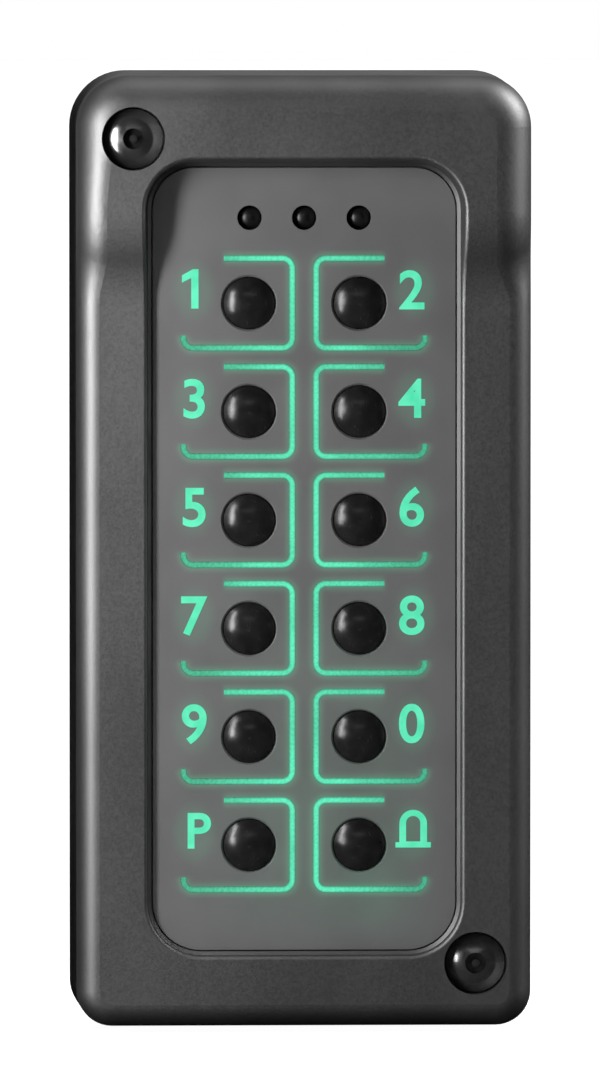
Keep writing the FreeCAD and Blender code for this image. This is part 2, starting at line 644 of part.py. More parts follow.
def make_light_frame():
    """The white spacer between board and guide, with a well for each key and each lamp."""
    body = new_body("light_frame")
    outline = new_sketch(body, "frame_outline", "Sizes.frame_back")
    centred_outline(outline, "Sizes.frame_half", "Sizes.frame_top", "Sizes.frame_top",
                    "Sizes.frame_round", "Sizes.frame_round")
    thickness = "Sizes.guide_back - Sizes.frame_back"
    add_slab(body, "frame_block", outline, thickness)
    cut_lamp_holes(body, "Sizes.frame_back", thickness, "Sizes.status_well")
    cut_glow_holes(body, "Sizes.frame_back", thickness, "Sizes.glow_well")
    cut_key_holes(body, "Sizes.frame_back", thickness, "Sizes.key_well")
    return body


def make_keypad_mat():
    """A silicone sheet on the board with a hollow dome under each key."""
    body = new_body("keypad_mat")
    outline = new_sketch(body, "mat_outline", "Sizes.board_front")
    centred_outline(outline, "Sizes.frame_half", "Sizes.frame_top", "Sizes.frame_top",
                    "Sizes.frame_round", "Sizes.frame_round")
    web = "Sizes.frame_back - Sizes.board_front"
    add_slab(body, "web", outline, web)
    cut_lamp_holes(body, "Sizes.board_front", web, "Sizes.status_well")
    cut_glow_holes(body, "Sizes.board_front", web, "Sizes.status_well")

    dome_height = "Sizes.dome_top - Sizes.board_front"
    slope = f"atan((Sizes.dome_foot - Sizes.dome_top_radius) / ({dome_height}))"
    dome = new_sketch(body, "dome", "Sizes.board_front")
    circle(dome, "-Sizes.column", "Sizes.row_first", "Sizes.dome_foot")
    cone = add_slab(body, "dome_cone", dome, dome_height, f"-{slope}")
    repeat_rows(body, "dome_cones", cone, dome, "2 * Sizes.column")
    hollow = new_sketch(body, "dome_hollow", "Sizes.board_front")
    circle(hollow, "-Sizes.column", "Sizes.row_first", "Sizes.dome_foot - Sizes.dome_wall")
    room = cut_slab(body, "dome_room", hollow, "Sizes.pill_front - Sizes.board_front", f"-{slope}")
    repeat_rows(body, "dome_rooms", room, hollow, "2 * Sizes.column")
    return body


# --- Keys ---------------------------------------------------------------------------------------


def key_places():
    """Each key's sign and the sizes that place it, row by row from the top."""
    for number, sign in enumerate(KEY_SIGNS):
        row, column = divmod(number, len(COLUMN_SIDES))
        yield (sign, f"{COLUMN_SIDES[column]} * Sizes.column",
               f"Sizes.row_first - {row} * Sizes.row_pitch")


def make_keys():
    for sign, along_x, along_z in key_places():
        key = new_body(f"key_{sign}")
        turn(key, "key", [("0", "Sizes.key_foot"), ("Sizes.key_foot_radius", "Sizes.key_foot"),
                          ("Sizes.key_foot_radius", "Sizes.key_flange_back"),
                          ("Sizes.key_flange", "Sizes.key_flange_back"),
                          ("Sizes.key_flange", "Sizes.key_flange_front"),
                          ("Sizes.key_radius", "Sizes.key_flange_front"),
                          ("Sizes.key_radius", "Sizes.key_shoulder"),
                          ("0", "Sizes.key_crown")], crown=True)
        place(key, along_x, along_z)
        pill = new_body(f"contact_pill_{sign}")
        disc = new_sketch(pill, "pill_disc", "Sizes.pill_back")
        circle(disc, "0", "0", "Sizes.pill_radius")
        add_slab(pill, "pill", disc, "Sizes.pill_front - Sizes.pill_back")
        place(pill, along_x, along_z)


# --- Board and what it carries ------------------------------------------------------------------


def make_main_board():
    body = new_body("main_board")
    outline = new_sketch(body, "board_outline", "Sizes.board_back")
    centred_outline(outline, "Sizes.board_half", "Sizes.board_top", "Sizes.board_top",
                    "Sizes.board_round", "Sizes.board_round")
    for side, level in BOARD_SCREWS:
        circle(outline, f"{side} * Sizes.post_x", f"{level} * Sizes.post_z", "Sizes.board_hole")
    add_slab(body, "board_pad", outline, "Sizes.board_front - Sizes.board_back")


def make_board_screws():
    screws = []
    for side, level in BOARD_SCREWS:
        body = new_body(f"board_screw_{len(screws) + 1}")
        turn(body, "screw", [("0", "Sizes.small_head_back"),
                             ("Sizes.small_head", "Sizes.small_head_back"),
                             ("Sizes.small_head", "Sizes.board_back"),
                             ("Sizes.small_shank", "Sizes.board_back"),
                             ("Sizes.small_shank", "Sizes.small_tip"), ("0", "Sizes.small_tip")])
        place(body, f"{side} * Sizes.post_x", f"{level} * Sizes.post_z")
        screws.append(body)
    group("board_screws", screws)


def make_status_lamps():
    for lamp in range(LAMPS):
        body = new_body(f"status_lamp_{lamp + 1}")
        rim_front = "Sizes.status_base + Sizes.status_flange"
        turn(body, "lens", [("0", "Sizes.status_base"), ("Sizes.status_rim", "Sizes.status_base"),
                            ("Sizes.status_rim", rim_front), ("Sizes.status_radius", rim_front),
                            ("Sizes.status_radius", "Sizes.status_tip - Sizes.status_dome"),
                            ("0", "Sizes.status_tip")], crown=True)
        legs = new_sketch(body, "legs", "Sizes.board_front")
        for side in (-1, 1):
            circle(legs, f"{side} * Sizes.leg_spread", "0", "Sizes.leg_radius")
        add_slab(body, "leg_pads", legs, "Sizes.status_base - Sizes.board_front")
        place(body, f"{lamp - 1} * Sizes.status_pitch", "Sizes.status_z")


def make_backlight_lamps():
    lamps = []
    for row in range(ROWS):
        for side in COLUMN_SIDES:
            body = new_body(f"backlight_lamp_{len(lamps) + 1}")
            outline = new_sketch(body, "lamp_outline", "Sizes.board_front")
            centred_outline(outline, "Sizes.glow_width / 2", "Sizes.glow_height / 2",
                            "Sizes.glow_height / 2")
            add_slab(body, "lamp_block", outline, "Sizes.glow_front - Sizes.board_front")
            place(body, f"{side} * Sizes.glow_x",
                  f"Sizes.row_first + Sizes.glow_rise - {row} * Sizes.row_pitch")
            lamps.append(body)
    group("backlight_lamps", lamps)


def terminal_x(number):
    return f"{number - (TERMINALS - 1) / 2} * Sizes.terminal_pitch"


def make_terminals():
    body = new_body("terminal_block")
    outline = new_sketch(body, "block_outline", "Sizes.terminal_back")
    centred_outline(outline, f"{TERMINALS / 2} * Sizes.terminal_pitch",
                    "Sizes.terminal_height / 2", "Sizes.terminal_height / 2",
                    "Sizes.terminal_corner", "Sizes.terminal_corner")
    add_slab(body, "block", outline, "Sizes.board_back - Sizes.terminal_back")
    wells = new_sketch(body, "screw_wells", "Sizes.terminal_back")
    for number in range(TERMINALS):
        circle(wells, terminal_x(number), "-Sizes.terminal_drop", "Sizes.terminal_well")
    cut_slab(body, "well_cuts", wells, "Sizes.terminal_well_front - Sizes.terminal_back")
    entries = new_sketch(body, "wire_entries", "Sizes.terminal_height / 2", "XY_Plane")
    for number in range(TERMINALS):
        middle = terminal_x(number)
        box_outline(entries, f"{middle} - Sizes.entry_half", f"{middle} + Sizes.entry_half",
                    "-Sizes.entry_front", "-Sizes.entry_back")
    entry_cuts = body.newObject("PartDesign::Pocket", "entry_cuts")
    entry_cuts.Profile = entries
    entry_cuts.setExpression("Length", "Sizes.entry_length")
    place(body, "0", "Sizes.terminal_z")
    screws = []
    for number in range(TERMINALS):
        screw = new_body(f"terminal_screw_{number + 1}")
        disc = new_sketch(screw, "head", "Sizes.terminal_screw_back")
        circle(disc, "0", "0", "Sizes.terminal_screw")
        add_slab(screw, "head_pad", disc,
                 "Sizes.terminal_well_front - Sizes.terminal_screw_back")
        slot = new_sketch(screw, "slot", "Sizes.terminal_screw_back")
        centred_outline(slot, "Sizes.terminal_well", "Sizes.screw_slot / 2",
                        "Sizes.screw_slot / 2")
        cut_slab(screw, "slot_cut", slot, "Sizes.screw_slot_depth")
        place(screw, terminal_x(number), "Sizes.terminal_z - Sizes.terminal_drop")
        screws.append(screw)
    group("terminal_screws", screws)


def make_block(name, half_width, half_height, back, along_x, along_z,
               corner="Sizes.block_corner"):
    """A plain moulded component that stands on the back of the board."""
    body = new_body(name)
    outline = new_sketch(body, f"{name}_outline", back)
    centred_outline(outline, half_width, half_height, half_height, corner, corner)
    pad = add_slab(body, f"{name}_block", outline, f"Sizes.board_back - {back}")
    round_edges(body, f"{name}_bevel", pad, "Sizes.block_bevel",
                lambda edge: at_depth(edge, back), "PartDesign::Chamfer")
    place(body, along_x, along_z)
    return body


def make_chip():
    """The controller: a flat body on thin lead strips that show along its four sides."""
    body = make_block("microcontroller", "Sizes.chip_half", "Sizes.chip_half",
                      "Sizes.chip_back", "0", "Sizes.chip_z")
    reach = "Sizes.chip_half + Sizes.lead_reach"
    for name, upright in (("upright_leads", True), ("level_leads", False)):
        leads = new_sketch(body, name, "Sizes.board_back - Sizes.lead_thickness")
        for number in range(CHIP_LEADS):
            middle = f"{number - (CHIP_LEADS - 1) / 2} * Sizes.lead_pitch"
            near, far = f"{middle} - Sizes.lead_width / 2", f"{middle} + Sizes.lead_width / 2"
            if upright:
                box_outline(leads, near, far, f"-({reach})", reach)
            else:
                box_outline(leads, f"-({reach})", reach, near, far)
        add_slab(body, f"{name}_pad", leads, "Sizes.lead_thickness")


def make_buzzer():
    body = new_body("buzzer")
    turn(body, "can", [("Sizes.buzzer_port", "Sizes.buzzer_back"),
                       ("Sizes.buzzer_radius", "Sizes.buzzer_back"),
                       ("Sizes.buzzer_radius", "Sizes.board_back"), ("0", "Sizes.board_back"),
                       ("0", "Sizes.buzzer_back + Sizes.port_depth"),
                       ("Sizes.buzzer_port", "Sizes.buzzer_back + Sizes.port_depth")])
    place(body, "Sizes.buzzer_x", "Sizes.buzzer_z")


def make_capacitor():
    """A small electrolytic can on a square foot, with a crimped groove."""
    body = new_body("capacitor")
    top = "Sizes.board_back - Sizes.can_foot"
    base = new_sketch(body, "foot_outline", top)
    centred_outline(base, "Sizes.can_base", "Sizes.can_base", "Sizes.can_base",
                    "Sizes.can_foot", "Sizes.can_foot")
    add_slab(body, "foot", base, "Sizes.can_foot")
    groove = "Sizes.can_radius - Sizes.crimp_bite"
    turn(body, "can", [("0", "Sizes.can_back"), ("Sizes.can_radius", "Sizes.can_back"),
                       ("Sizes.can_radius", "Sizes.crimp_back"),
                       (groove, "Sizes.crimp_back + Sizes.crimp_slope"),
                       (groove, "Sizes.crimp_front - Sizes.crimp_slope"),
                       ("Sizes.can_radius", "Sizes.crimp_front"),
                       ("Sizes.can_radius", top), ("0", top)])
    place(body, "Sizes.can_x", "Sizes.can_z")


def make_tamper_eye():
    """The light sensor that notices when the reader is taken off the wall."""
    body = new_body("tamper_sensor")
    turn(body, "disc", [("0", "Sizes.eye_back"), ("Sizes.eye_radius", "Sizes.eye_back"),
                        ("Sizes.eye_radius", "Sizes.eye_front"), ("0", "Sizes.eye_front")])
    legs = new_sketch(body, "legs", "Sizes.eye_front")
    for side in (-1, 1):
        circle(legs, f"{side} * Sizes.leg_spread", "0", "Sizes.leg_radius")
    add_slab(body, "leg_pads", legs, "Sizes.board_back - Sizes.eye_front")
    place(body, "Sizes.eye_x", "Sizes.eye_z")


# --- The whole reader ---------------------------------------------------------------------------

make_front_housing()
make_back_plate()
make_press_nuts()
make_cable_grommet()
make_ring("rim_seal", case_outline, "Sizes.rim_wall + Sizes.seal_gap",
          "Sizes.rim_wall + Sizes.ledge - Sizes.seal_gap", "Sizes.back_thickness",
          "Sizes.rim_depth")
make_ring("plate_gasket", window_outline, "-(Sizes.flange_width - Sizes.seal_gap)",
          "-Sizes.seal_gap", "Sizes.flange_front", "Sizes.inside_depth")
make_cover_screws()
make_legend_plate()
make_light_guide()
make_light_frame()
make_keypad_mat()
make_keys()
make_main_board()
make_board_screws()
make_status_lamps()
make_backlight_lamps()
make_terminals()
make_block("relay", "Sizes.relay_width / 2", "Sizes.relay_height / 2", "Sizes.relay_back",
           "Sizes.relay_x", "Sizes.relay_z")
make_block("power_coil", "Sizes.coil_half", "Sizes.coil_half", "Sizes.coil_back",
           "Sizes.coil_x", "Sizes.coil_z", "Sizes.coil_corner")
make_chip()
make_buzzer()
make_capacitor()
make_tamper_eye()
doc.recompute()

for item in doc.Objects:
    if "Invalid" in item.State or "Error" in item.State:
        raise ValueError(f"{item.Label} failed: {item.State}")
os.makedirs("parts", exist_ok=True)
for item in sub_parts:
    if item.Shape.isNull() or not item.Shape.isValid():
        raise ValueError(f"{item.Label} has no valid shape")
    item.Shape.exportStep(f"parts/{item.Label}.step")
    print(item.Label, round(item.Shape.Volume, 2), len(item.Shape.Solids))
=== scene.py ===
import math

import bpy
from mathutils import Matrix, Vector


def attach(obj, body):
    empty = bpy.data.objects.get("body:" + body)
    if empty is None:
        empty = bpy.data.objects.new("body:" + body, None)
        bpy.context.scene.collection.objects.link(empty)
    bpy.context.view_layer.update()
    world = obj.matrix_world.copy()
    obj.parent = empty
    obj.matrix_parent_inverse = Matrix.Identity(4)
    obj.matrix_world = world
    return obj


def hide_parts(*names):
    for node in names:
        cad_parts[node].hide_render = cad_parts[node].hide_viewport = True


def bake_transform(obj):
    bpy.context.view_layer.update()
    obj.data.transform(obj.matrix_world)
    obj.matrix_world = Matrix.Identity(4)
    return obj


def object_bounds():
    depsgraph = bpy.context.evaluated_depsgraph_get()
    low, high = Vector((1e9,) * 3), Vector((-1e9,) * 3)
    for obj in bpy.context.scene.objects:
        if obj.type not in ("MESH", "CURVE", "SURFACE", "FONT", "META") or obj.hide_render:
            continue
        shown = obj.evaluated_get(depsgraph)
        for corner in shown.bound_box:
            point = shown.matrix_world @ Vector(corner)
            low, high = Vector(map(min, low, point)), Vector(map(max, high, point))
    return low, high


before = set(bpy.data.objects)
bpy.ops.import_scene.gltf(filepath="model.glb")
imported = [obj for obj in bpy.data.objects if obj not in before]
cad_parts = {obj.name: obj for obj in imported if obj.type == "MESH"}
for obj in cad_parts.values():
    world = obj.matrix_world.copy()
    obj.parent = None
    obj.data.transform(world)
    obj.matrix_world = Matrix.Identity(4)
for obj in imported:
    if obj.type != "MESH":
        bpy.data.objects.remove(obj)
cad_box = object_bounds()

# Looks of the keypad access reader. X is to the right, Z is up and the front faces -Y. The
# reader's sizes are in millimetres as in the part's source, with depths from the wall, and become
# metres where something is placed. The studio's sizes are in metres.
MM = 0.001

# the keys' grid and the lit lines round it
SIGNS = ["1", "2", "3", "4", "5", "6", "7", "8", "9", "0", "p", "bell"]
COLUMN = 7.15
ROW_FIRST, ROW_PITCH, ROWS = 32.15, 14.05, 6
PLATE_FRONT = 22.4
LINE_INNER, LINE_OUTER, LINE_OPEN = 1.55, 15.65, 10.4
LINE_RISE, LINE_STUB, LINE_ROUND = 5.8, 4.2, 1.3

# the lit signs beside the keys
SIGN_HEIGHT, SIGN_LOW, SIGN_PROUD, SIGN_BOLD = 5.1, -0.7, 0.04, 0.13
SIGN_OUTWARDS = {-1: 7.1, 1: 6.8}
SIGN_MOVES = {"1": (-0.5, 0.0), "p": (0.65, 0.38), "bell": (0.2, 0.32)}
SIGN_SIZES = {"P": 0.92}
CAPITAL_SHARE, LETTER_STEPS = 0.73, 6
BELL_HALF, BELL_TOP, BELL_BAR_HALF, BELL_BAR = 1.8, 4.9, 2.3, 0.7
BELL_ROOM_HALF, BELL_ROOM_FOOT, BELL_ROOM_TOP = 0.92, 0.8, 4.1
BELL_STEPS = 16

# the keypad mat, from the board forwards
BOARD_FRONT, MAT_FRONT = 14.2, 15.0
MAT_HALF, MAT_TOP, MAT_ROUND, MAT_HOLE = 20.9, 48.2, 4.0, 2.2
STATUS_PITCH, STATUS_HEIGHT = 7.07, 43.2
GLOW_ACROSS, GLOW_RISE = 14.65, 1.7
DOME_FOOT, DOME_HEAD, DOME_WALL, DOME_EDGE = 4.28, 2.6, 0.5, 0.15
DOME_ROOF, DOME_TOP, DOME_GAP, DOME_BEND = 15.65, 17.2, 0.02, 0.05
DOME_LEVELS, DOME_CREASE = 8, 35
CORNER_STEPS, CIRCLE_STEPS = 10, 40

# finishes
NOISE_LOW, NOISE_HIGH = 0.3, 0.7
TRACK_PITCH, TRACK_GAP = 1.27, 0.34

# studio
SKY_LIGHT = 0.1
FLOOR_HALF, FLOOR_DROP, CARD_DROP = 30.0, 0.0005, 0.0003
CARD_SIDE, CARD_BACK, CARD_FAR, CARD_TOP = 0.9, 0.3, 2.2, 0.9
LAMPS_FACE = (0, -0.02, 0)
# each strip's place, width, height and power
STRIPS = {
    "near_strip": ((-0.1075, -0.1072, 0.035), 0.02, 0.13, 0.215),
    "far_strip": ((-0.82, -0.88, 0.08), 0.1, 0.4, 2.6),
    "rim_strip": ((0.27, -0.015, 0.2), 0.06, 0.2, 0.85),
    "side_strip": ((0.3, -0.08, 0.0), 0.04, 0.3, 0.035),
}
SPOT_PLACE, SPOT_SPREAD, SPOT_EDGE, SPOT_SIZE, SPOT_POWER = (0.0, 0.5, 0.0), 14, 0.2, 0.015, 15.0
CAMERA_YAW, CAMERA_RISE, CAMERA_AWAY = 2.2, 2.5, 1.6
CAMERA_AIM = (-0.0002, -0.0135, 0.0003)
CAMERA_LENS, CAMERA_SENSOR = 270.0, 24.0


def tone(red, green=None, blue=None):
    """A colour as a screen shows it, 0 to 255, turned into the light it stands for."""
    parts = [red, red if green is None else green, red if blue is None else blue]
    light = [(part / 255 + 0.055) / 1.055 for part in parts]
    return (*(part ** 2.4 for part in light), 1)


class Amount:
    """What a node of a finish gives. Sums written with amounts add the finish's Math nodes."""

    def __init__(self, finish, socket):
        self.finish = finish
        self.socket = socket

    def worked(self, operation, *terms):
        return self.finish.node("Math", {"operation": operation}, dict(enumerate(terms)))

    def __add__(self, other):
        return self.worked("ADD", self, other)

    def __sub__(self, other):
        return self.worked("SUBTRACT", self, other)

    def __rsub__(self, other):
        return self.worked("SUBTRACT", other, self)

    def __mul__(self, other):
        return self.worked("MULTIPLY", self, other)

    def __truediv__(self, other):
        return self.worked("DIVIDE", self, other)

    def __pow__(self, other):
        return self.worked("POWER", self, other)

    def __abs__(self):
        return self.worked("ABSOLUTE", self)

    __radd__ = __add__
    __rmul__ = __mul__

    def most(self, other):
        return self.worked("MAXIMUM", self, other)

    def least(self, other):
        return self.worked("MINIMUM", self, other)

    def rise(self, low, high, start=0.0, end=1.0):
        """Goes smoothly from start to end while the amount goes from low to high."""
        return self.finish.node(
            "MapRange", {"interpolation_type": "SMOOTHSTEP"},
            {"Value": self, "From Min": low, "From Max": high, "To Min": start, "To Max": end})

    def spread(self, start=0.0, end=1.0):
        """Goes smoothly from start to end over the values that noise mostly has."""
        return self.rise(NOISE_LOW, NOISE_HIGH, start, end)


class Wiring:
    """The nodes of a material or of the world."""

    def __init__(self, holder):
        holder.use_nodes = True
        self.tree = holder.node_tree
        self.tree.nodes.clear()

    def node(self, kind, settings=None, values=None, output=0):
        made = self.tree.nodes.new("ShaderNode" + kind)
        for name, setting in (settings or {}).items():
            setattr(made, name, setting)
        for socket, amount in (values or {}).items():
            if isinstance(amount, Amount):
                self.tree.links.new(amount.socket, made.inputs[socket])
            else:
                made.inputs[socket].default_value = amount
        return Amount(self, made.outputs[output] if made.outputs else None)

    def white_rays(self):
        """One where the camera, metal or glass looks, nought where light falls on something."""
        camera, gloss, glass = (
            self.node("LightPath", output=f"Is {ray} Ray")
            for ray in ("Camera", "Glossy", "Transmission"))
        return camera.most(gloss).most(glass)


class Finish(Wiring):
    """A material for a finish of the reader. Its pattern follows the piece, in millimetres."""

    def __init__(self, name):
        self.material = bpy.data.materials.new(name)
        super().__init__(self.material)
        at = self.node("TexCoord", output="Object")
        self.point = self.node(
            "VectorMath", {"operation": "SCALE"}, {0: at, "Scale": 1 / MM})
        self.across, self.out, self.up = (
            self.node("SeparateXYZ", values={0: self.point}, output=axis) for axis in "XYZ")
        self.depth = 0 - self.out

    def grain(self, size, detail=2.0, roughness=0.5, stretch=(1, 1, 1)):
        """Cloudy noise with patches of about this size, pulled out along the axes."""
        point = self.node("VectorMath", {"operation": "MULTIPLY"},
                          {0: self.point, 1: [1 / part for part in stretch]})
        return self.node("TexNoise", values={
            "Vector": point, "Scale": 1 / size, "Detail": detail, "Roughness": roughness})

    def cells(self, size):
        """Distance to the nearest of many scattered points, this far apart."""
        return self.node("TexVoronoi", {"feature": "F1"},
                         {"Vector": self.point, "Scale": 1 / size})

    def mix(self, factor, first, second):
        """Goes from the first colour to the second."""
        return self.node("Mix", {"data_type": "RGBA", "clamp_factor": True},
                         {0: factor, 6: first, 7: second}, output=2)

    def bump(self, height, depth):
        """Relief that goes this many millimetres deep."""
        return self.node("Bump", values={
            "Height": height, "Distance": depth * MM, "Strength": 1.0})

    def done(self, **values):
        """The material, once its shader has these values."""
        shader = self.node("BsdfPrincipled", values={
            name.replace("_", " "): amount for name, amount in values.items()})
        self.node("OutputMaterial", values={"Surface": shader})
        return self.material


# ---------------------------------------------------------------- finishes


def powder_coat():
    """Fine-textured dark grey powder coat on die-cast metal."""
    coat = Finish("powder_coat")
    pimples = coat.grain(0.34, detail=3, roughness=0.55)
    fine = coat.grain(0.13, detail=2)
    clouds = coat.grain(14, detail=3, stretch=(1, 1, 2))
    shade = (clouds * 0.7 + pimples * 0.3).spread()
    return coat.done(
        Base_Color=coat.mix(shade, tone(118), tone(136)),
        Roughness=pimples.spread(0.50, 0.56),
        Metallic=1.0, Specular_Tint=tone(130),
        Normal=coat.bump(pimples * 0.7 + fine * 0.3, 0.014))


def cell_lines(plate):
    """Where a point lies in the grid of lit lines, one of which runs round each key.

    Gives the distance from the line, how much of the line is there, the distance from the
    reader's middle, the height above the key, and one within the rows and nought elsewhere.
    """
    fade, row_fade = 0.5, 0.02
    inwards = abs(plate.across)
    row = (ROW_FIRST + ROW_PITCH / 2 - plate.up) / ROW_PITCH
    turn = row - row.worked("FLOOR", row)
    up = (0.5 - turn) * ROW_PITCH
    middle = (LINE_INNER + LINE_OUTER) / 2
    half = (LINE_OUTER - LINE_INNER) / 2
    side = abs(inwards - middle) - (half - LINE_ROUND)
    rise = abs(up) - (LINE_RISE - LINE_ROUND)
    corner = (side.most(0) ** 2 + rise.most(0) ** 2) ** 0.5
    inside = side.most(rise).least(0)
    gap = abs(corner + inside - LINE_ROUND)
    outer = inwards.rise(LINE_OPEN - fade, LINE_OPEN + fade)
    opened = outer * up.rise(-LINE_STUB - fade, -LINE_STUB + fade)
    in_rows = row.rise(0.0, row_fade) * row.rise(ROWS - row_fade, ROWS, 1.0, 0.0)
    return gap, (1 - opened) * in_rows, inwards, up, in_rows


def legend_coat():
    """Satin grey lacquer that glows a little round the lit lines and signs, and low down."""
    plate = Finish("legend_coat")
    fine = plate.grain(0.09, detail=2)
    broad = plate.grain(11, detail=2)
    gap, there, inwards, up, in_rows = cell_lines(plate)
    line_reach = 2.2
    line_glow = gap.rise(0.0, line_reach, 1.0, 0.0) ** 3 * there
    sign_across, sign_up, sign_wide, sign_high = 14.3, 1.65, 2.6, 3.6
    sign_gap = ((inwards - sign_across) / sign_wide) ** 2 + ((up - sign_up) / sign_high) ** 2
    sign_glow = sign_gap.rise(0.2, 1.6, 1.0, 0.0) * in_rows
    low = plate.up.rise(10, -45) * inwards.rise(19, 8) * plate.up.rise(-53, -44)
    patches = plate.grain(9, detail=2).rise(0.3, 0.75) * 0.7 + 0.3
    leak = low * patches * plate.across.rise(-22, 12, 0.25, 1.0)
    front = plate.depth.rise(PLATE_FRONT - 0.3, PLATE_FRONT - 0.1)
    line_power, sign_power, leak_power = 0.13, 0.045, 0.05
    glow = (line_glow * line_power + sign_glow * sign_power + leak * leak_power) * front
    lit_green = (0.08, 1.0, 0.5, 1)
    light = plate.mix(glow, tone(0), lit_green)
    return plate.done(
        Base_Color=plate.mix(broad.spread(), tone(112), tone(119)),
        Roughness=fine.spread(0.42, 0.52),
        Metallic=0.3,
        Emission_Color=light, Emission_Strength=1.0,
        Normal=plate.bump(fine, 0.006))


def lit_guide():
    """Clear green acrylic that shines where its ribs come through the legend plate."""
    guide = Finish("lit_guide")
    gap, _, inwards, _, _ = cell_lines(guide)
    slow = guide.grain(6, detail=1)
    fall = inwards.rise(2.5, LINE_OUTER, 1.0, 0.42)
    level = fall * slow.rise(0.25, 0.7, 0.72, 1.05)
    front = guide.depth.rise(PLATE_FRONT - 0.5, PLATE_FRONT - 0.2)
    core = gap.rise(0.1, 0.4, 1.0, 0.45)
    light = guide.mix(level * front * core, tone(0, 10, 6), tone(84, 214, 172))
    fine = guide.grain(0.4, detail=2)
    return guide.done(
        Base_Color=guide.mix(fine.spread(), tone(52, 120, 92), tone(66, 134, 106)),
        Roughness=fine.spread(0.22, 0.34),
        Emission_Color=light, Emission_Strength=1.0,
        Normal=guide.bump(fine, 0.004))


def sign_light():
    """Milky window of a sign, lit green from behind."""
    sign = Finish("sign_light")
    slow = sign.grain(2.2, detail=2)
    light = sign.mix(slow.spread(), tone(66, 200, 156), tone(86, 216, 174))
    return sign.done(
        Base_Color=tone(60, 130, 100), Roughness=slow.spread(0.35, 0.45),
        Emission_Color=light, Emission_Strength=1.0,
        Normal=sign.bump(sign.grain(0.3), 0.003))


def black_chrome(name, dark, bright, roughness, metallic=0.5):
    """Polished black chrome with a faint haze and hairline scratches."""
    chrome = Finish(name)
    haze = chrome.grain(1.6, detail=3)
    hair = chrome.grain(0.22, detail=2, stretch=(1, 1, 8))
    return chrome.done(
        Base_Color=chrome.mix(haze.spread(), dark, bright),
        Roughness=(haze * 0.6 + hair * 0.4).spread(roughness, roughness + 0.08),
        Metallic=metallic, IOR=1.45,
        Normal=chrome.bump(hair, 0.0012))


def tinted_lens():
    """Dark smoked lens of a lamp that is off."""
    lens = Finish("tinted_lens")
    haze = lens.grain(0.8, detail=2)
    return lens.done(
        Base_Color=lens.mix(haze.spread(), tone(18, 17, 18), tone(26, 24, 25)),
        Roughness=haze.spread(0.32, 0.42), IOR=1.4,
        Normal=lens.bump(haze, 0.002))


def moulded(name, dark, bright, size=0.3, roughness=0.45, depth=0.01):
    """Moulded plastic or rubber with a fine spark-eroded grain."""
    plastic = Finish(name)
    fine = plastic.grain(size, detail=3)
    broad = plastic.grain(size * 18, detail=2)
    return plastic.done(
        Base_Color=plastic.mix((fine * 0.4 + broad * 0.6).spread(), dark, bright),
        Roughness=fine.spread(roughness - 0.05, roughness + 0.07), IOR=1.45,
        Normal=plastic.bump(fine, depth))


def plated(name, dark, bright, roughness):
    """Plated or drawn metal with fine marks of its making along one way."""
    metal = Finish(name)
    drawn = metal.grain(0.16, detail=3, stretch=(1, 1, 12))
    patches = metal.cells(5.5)
    clouds = metal.grain(8, detail=3)
    shade = (drawn * 0.35 + patches * 0.25 + clouds * 0.4).rise(0.25, 0.7)
    return metal.done(
        Base_Color=metal.mix(shade, dark, bright),
        Roughness=(drawn * 0.6 + clouds * 0.4).spread(roughness, roughness + 0.07),
        Metallic=1.0,
        Normal=metal.bump(drawn, 0.003))


def solder_mask():
    """Green solder mask over copper tracks on a glass-epoxy board."""
    board = Finish("solder_mask")
    weave = board.grain(0.5, detail=2)
    upright, level = (
        abs(steps - steps.worked("ROUND", steps)).rise(TRACK_GAP - 0.1, TRACK_GAP)
        for steps in (board.across / TRACK_PITCH, board.up / TRACK_PITCH))
    zone = board.cells(9).rise(0.45, 0.5)
    tracks = upright * zone + level * (1 - zone)
    return board.done(
        Base_Color=board.mix(tracks, tone(18, 74, 42), tone(30, 104, 58)),
        Roughness=weave.spread(0.24, 0.34),
        Normal=board.bump(tracks + weave * 0.2, 0.02))


FINISHES = {
    "powder_coat": powder_coat(),
    "legend_coat": legend_coat(),
    "lit_guide": lit_guide(),
    "sign_light": sign_light(),
    "key_chrome": black_chrome("key_chrome", tone(38), tone(48), 0.2),
    "screw_chrome": black_chrome("screw_chrome", tone(96), tone(112), 0.17, 0.85),
    "tinted_lens": tinted_lens(),
    "zinc_sheet": plated("zinc_sheet", tone(168, 172, 176), tone(190, 193, 196), 0.36),
    "bright_steel": plated("bright_steel", tone(172, 172, 170), tone(206, 206, 204), 0.22),
    "can_metal": plated("can_metal", tone(190, 191, 193), tone(214, 214, 216), 0.26),
    "black_rubber": moulded("black_rubber", tone(26), tone(36), 0.5, 0.62, 0.02),
    "white_frame": moulded("white_frame", tone(226, 226, 222), tone(236, 236, 233)),
    "mat_silicone": moulded("mat_silicone", tone(198, 200, 200), tone(214, 216, 216), 0.6, 0.5),
    "carbon_pill": moulded("carbon_pill", tone(22), tone(34), 0.12, 0.6),
    "solder_mask": solder_mask(),
    "lamp_resin": moulded("lamp_resin", tone(224, 222, 196), tone(238, 236, 214), 0.2, 0.35),
    "terminal_nylon": moulded("terminal_nylon", tone(34, 124, 70), tone(44, 142, 82)),
    "relay_case": moulded("relay_case", tone(214, 214, 208), tone(228, 228, 223), 0.25, 0.35),
    "ferrite": moulded("ferrite", tone(44, 44, 46), tone(62, 62, 64), 0.2, 0.7, 0.02),
    "chip_epoxy": moulded("chip_epoxy", tone(26), tone(36), 0.14, 0.55),
    "sensor_ceramic": moulded("sensor_ceramic", tone(196, 122, 66), tone(212, 140, 82), 0.2),
}

